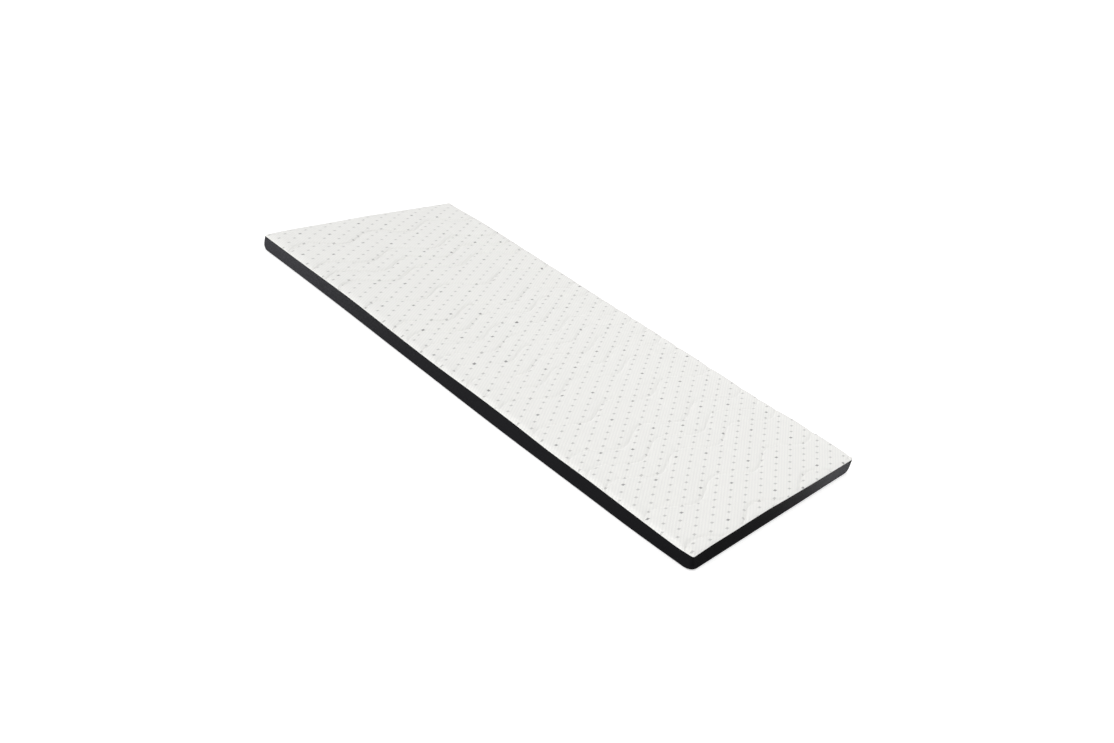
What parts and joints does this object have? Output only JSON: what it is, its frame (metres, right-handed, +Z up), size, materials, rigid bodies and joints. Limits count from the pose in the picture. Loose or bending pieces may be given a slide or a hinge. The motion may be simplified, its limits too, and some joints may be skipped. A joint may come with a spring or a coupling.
{
  "type": "mattress topper",
  "caption": "Thin single mattress topper with a quilted pale top, a dark side border and a plain base, lying flat.",
  "frame": {"origin": "bottom centre of the topper's bounding box, on the surface it lies on", "axes": "+Z up through the thickness, +X along the length, +Y across the width"},
  "size_m": [2.0083, 0.9107, 0.0664],
  "materials": {
    "knit_white": "soft white knit with fine slanting ribs and small grey dots, quilted",
    "border_dark": "smooth dark charcoal cloth, matt",
    "base_dark": "plain dark cloth, matt"
  },
  "bodies": {
    "root": {"quilted_top": "knit_white", "side_border": "border_dark", "base_panel": "base_dark"}
  },
  "joints": []
}
